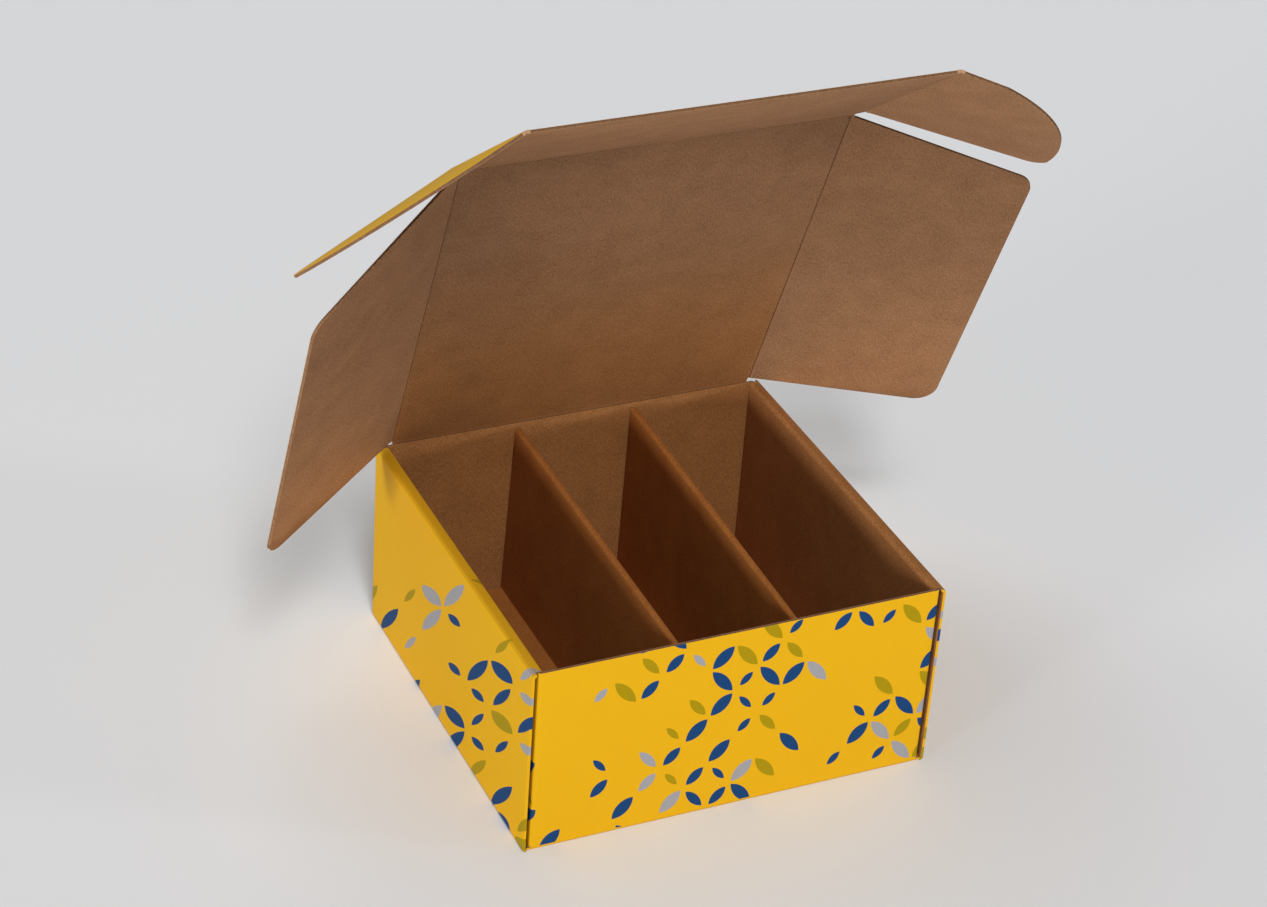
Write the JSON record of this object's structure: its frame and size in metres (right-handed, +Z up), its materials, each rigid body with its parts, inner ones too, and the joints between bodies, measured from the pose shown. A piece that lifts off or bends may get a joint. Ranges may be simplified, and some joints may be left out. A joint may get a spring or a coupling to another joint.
{
  "type": "bottle shipping box",
  "caption": "Open roll-end corrugated shipping box with hinged lid, dust flaps, tuck flap with ears and a folded insert that divides it into bottle compartments.",
  "frame": {"origin": "middle of the tray's underside", "axes": "+X to the right, +Y to the hinged back wall, +Z up out of the tray"},
  "size_m": [0.5905, 0.316, 0.5478],
  "materials": {
    "printed_board": "matt printed outside, bare kraft inside",
    "plain_board": "matt bare kraft"
  },
  "bodies": {
    "tray": {"tray": "printed_board", "divider_insert": "plain_board"},
    "lid": {"lid": "printed_board"},
    "left_dust_flap": {"left_dust_flap": "printed_board"},
    "right_dust_flap": {"right_dust_flap": "printed_board"},
    "tuck_flap": {"tuck_flap": "printed_board"},
    "left_ear": {"left_ear": "printed_board"},
    "right_ear": {"right_ear": "printed_board"}
  },
  "joints": [
    {"name": "lid_hinge", "type": "hinge", "parent": "tray", "child": "lid", "pos_m": [0, 0.1568, 0.1592], "axis": [-1, 0, 0], "range_deg": [-20, 112.1]},
    {"name": "left_dust_flap_fold", "type": "hinge", "parent": "lid", "child": "left_dust_flap", "pos_m": [-0.1536, 0.1568, 0.1592], "axis": [0, -0.3762, 0.9265], "range_deg": [-33.6, 16.4]},
    {"name": "right_dust_flap_fold", "type": "hinge", "parent": "lid", "child": "right_dust_flap", "pos_m": [0.1536, 0.1568, 0.1592], "axis": [0, 0.3762, -0.9265], "range_deg": [-20.5, 29.5]},
    {"name": "tuck_flap_fold", "type": "hinge", "parent": "lid", "child": "tuck_flap", "pos_m": [0, 0.0366, 0.45523], "axis": [1, 0, 0], "range_deg": [-32.6, 27.4]},
    {"name": "left_ear_fold", "type": "hinge", "parent": "tuck_flap", "child": "left_ear", "pos_m": [-0.1613, 0.0366, 0.45523], "axis": [0, -0.8161, 0.5779], "range_deg": [-24, 66]},
    {"name": "right_ear_fold", "type": "hinge", "parent": "tuck_flap", "child": "right_ear", "pos_m": [0.1613, 0.0366, 0.45523], "axis": [0, 0.8161, -0.5779], "range_deg": [-24, 66]}
  ]
}
